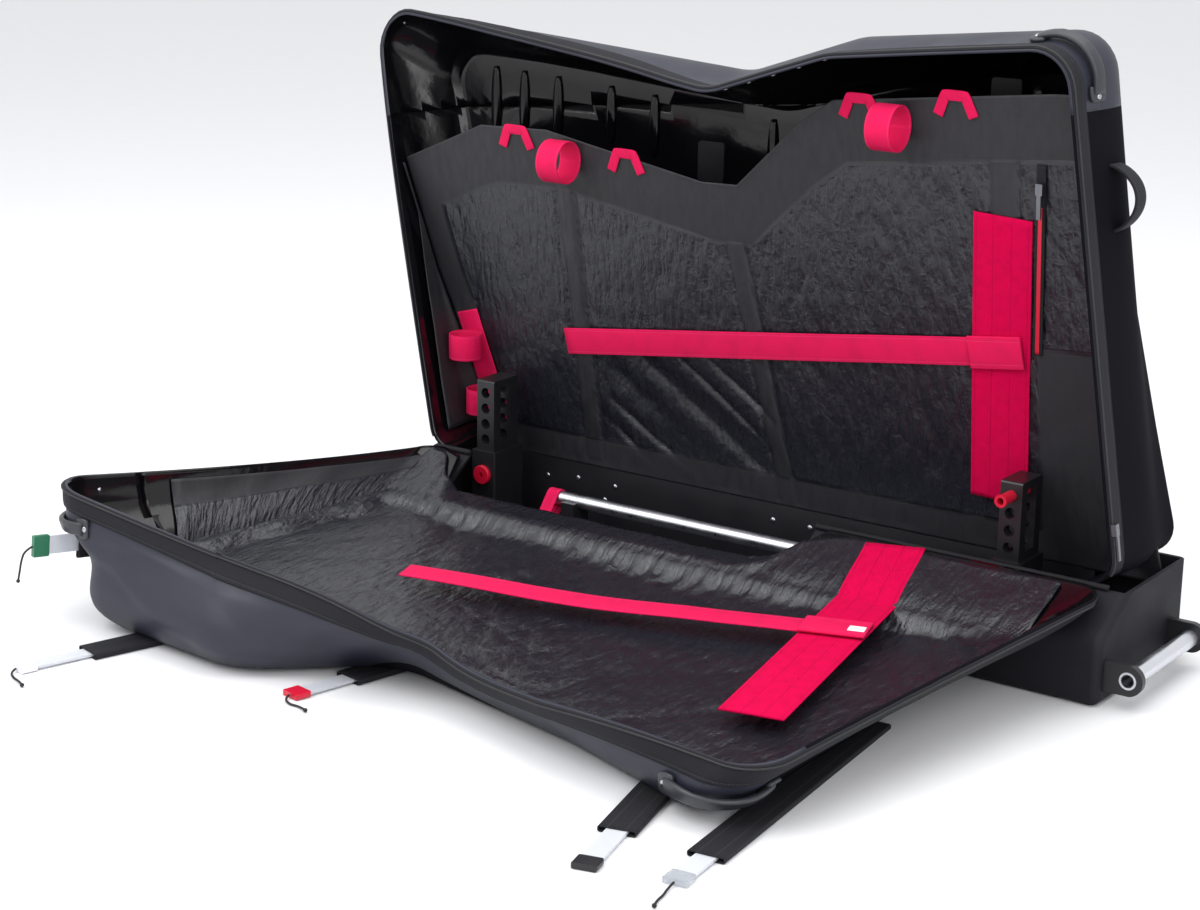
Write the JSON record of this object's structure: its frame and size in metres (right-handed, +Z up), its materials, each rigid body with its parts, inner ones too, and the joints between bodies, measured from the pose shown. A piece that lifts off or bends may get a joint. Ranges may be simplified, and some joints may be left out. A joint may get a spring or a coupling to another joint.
{
  "type": "bike travel case",
  "caption": "Wheeled bike travel case, unzipped and laid open: an upright padded half on a rigid base with fork stands, and a hinged moulded lid with slide-out battens.",
  "frame": {"origin": "on the floor under the middle of the hinge line, on the underside of the base", "axes": "+X along the case towards the grab bar, +Y away from the open lid, +Z up"},
  "size_m": [1.4191, 1.109, 0.8564],
  "materials": {
    "shell_plastic": "satin moulded shell",
    "panel_fabric": "matte coated ballistic nylon",
    "rim_nylon": "woven zip tape",
    "liner_fabric": "crinkled coated nylon",
    "red_webbing": "crimson hook-and-loop webbing",
    "black_webbing": "black webbing",
    "hook_panel": "loop pile",
    "base_plastic": "covered moulded base",
    "black_plastic": "moulded black plastic",
    "grey_plastic": "moulded dark grey plastic",
    "red_plastic": "moulded red plastic",
    "aluminium": "brushed tube",
    "steel": "plated steel",
    "wheel_rubber": "moulded wheel",
    "batten_plastic": "translucent strip",
    "white_plastic": "moulded white",
    "green_plastic": "moulded green",
    "clear_plastic": "moulded clear",
    "cord_black": "braided cord",
    "zip_metal": "black slider"
  },
  "bodies": {
    "base": {"base_tub": "base_plastic", "back_board": "black_plastic", "stand_rail": "aluminium", "rail_feet": "black_plastic", "left_socket": "black_plastic", "right_socket": "black_plastic", "left_tie_strap": "red_webbing", "right_tie_strap": "red_webbing", "grab_bar": "aluminium", "bar_ears": "black_plastic", "wheel_carrier": "black_plastic", "wheel_axle": "steel", "hinge_piping": "rim_nylon", "body_shell": "shell_plastic", "body_panel": "panel_fabric", "body_rim_band": "rim_nylon", "body_liner": "liner_fabric", "body_frame_strap": "red_webbing", "body_hook_panel": "hook_panel", "anchor_tabs": "red_webbing", "hanging_loops": "red_webbing", "retaining_strap": "red_webbing", "pocket_zip": "rim_nylon", "shell_plates": "grey_plastic", "carry_handles": "black_webbing", "body_grip_left": "grey_plastic", "body_grip_right": "grey_plastic"},
    "lid": {"lid_shell": "shell_plastic", "lid_panel": "panel_fabric", "lid_rim_band": "rim_nylon", "lid_liner": "liner_fabric", "lid_frame_strap": "red_webbing", "lid_hook_panel": "hook_panel", "lid_grip_left": "grey_plastic", "lid_grip_right": "grey_plastic", "batten_sleeves": "panel_fabric"},
    "left_mast": {"left_mast": "grey_plastic"},
    "right_mast": {"right_mast": "grey_plastic"},
    "left_knob": {"left_clamp_knob": "red_plastic"},
    "right_knob": {"right_clamp_knob": "red_plastic"},
    "axle_tube": {"axle_tube": "red_plastic"},
    "front_wheel": {"front_wheel": "wheel_rubber"},
    "rear_wheel": {"rear_wheel": "wheel_rubber"},
    "pocket_slider": {"pocket_slider": "zip_metal"},
    "zip_slider": {"zip_slider": "zip_metal"},
    "left_batten": {"batten_left": "batten_plastic", "cap_white": "white_plastic", "cord_white": "cord_black"},
    "middle_batten": {"batten_middle": "batten_plastic", "cap_red": "red_plastic", "cord_red": "cord_black"},
    "right_batten": {"batten_right": "batten_plastic", "cap_black": "black_plastic"},
    "end_batten": {"batten_end": "batten_plastic", "cap_clear": "clear_plastic", "cord_clear": "cord_black"},
    "side_batten": {"batten_side": "batten_plastic", "cap_green": "green_plastic", "cord_green": "cord_black"}
  },
  "joints": [
    {"name": "lid_hinge", "type": "hinge", "parent": "base", "child": "lid", "pos_m": [0, 0, 0.141], "axis": [-1, 0, 0], "range_deg": [0, 93]},
    {"name": "left_mast_slide", "type": "slide", "parent": "base", "child": "left_mast", "axis": [0, 0, 1], "range_m": [0, 0.05]},
    {"name": "right_mast_slide", "type": "slide", "parent": "base", "child": "right_mast", "axis": [0, 0, 1], "range_m": [0, 0.05]},
    {"name": "left_knob_turn", "type": "hinge", "parent": "base", "child": "left_knob", "pos_m": [-0.505, 0.0387, 0.096], "axis": [0, -1, 0], "range_deg": [0, 180]},
    {"name": "right_knob_turn", "type": "hinge", "parent": "base", "child": "right_knob", "pos_m": [0.396, 0.0387, 0.096], "axis": [0, -1, 0], "range_deg": [0, 180]},
    {"name": "axle_tube_slide", "type": "slide", "parent": "right_mast", "child": "axle_tube", "axis": [0, -1, 0], "range_m": [0, 0.03]},
    {"name": "front_wheel_spin", "type": "hinge", "parent": "base", "child": "front_wheel", "pos_m": [-0.631, 0.02, 0.045], "axis": [0, 1, 0], "continuous": true},
    {"name": "rear_wheel_spin", "type": "hinge", "parent": "base", "child": "rear_wheel", "pos_m": [-0.631, 0.15, 0.045], "axis": [0, 1, 0], "continuous": true},
    {"name": "pocket_zip_pull", "type": "slide", "parent": "base", "child": "pocket_slider", "axis": [-0.0449, 0.1835, -0.982], "range_m": [0, 0.2]},
    {"name": "main_zip_pull", "type": "slide", "parent": "base", "child": "zip_slider", "axis": [-0.15, -0.0224, 0.9884], "range_m": [0, 0.45]},
    {"name": "left_batten_slide", "type": "slide", "parent": "lid", "child": "left_batten", "axis": [-0.2874, -0.9578, 0], "range_m": [-0.078, 0.25]},
    {"name": "middle_batten_slide", "type": "slide", "parent": "lid", "child": "middle_batten", "axis": [-0.2147, -0.9767, 0], "range_m": [-0.068, 0.25]},
    {"name": "right_batten_slide", "type": "slide", "parent": "lid", "child": "right_batten", "axis": [0.2419, -0.9703, 0], "range_m": [-0.078, 0.25]},
    {"name": "end_batten_slide", "type": "slide", "parent": "lid", "child": "end_batten", "axis": [0.0976, -0.9952, 0], "range_m": [-0.05, 0.25]},
    {"name": "side_batten_slide", "type": "slide", "parent": "lid", "child": "side_batten", "axis": [-0.2609, -0.9614, 0.0872], "range_m": [-0.044, 0.1]}
  ]
}
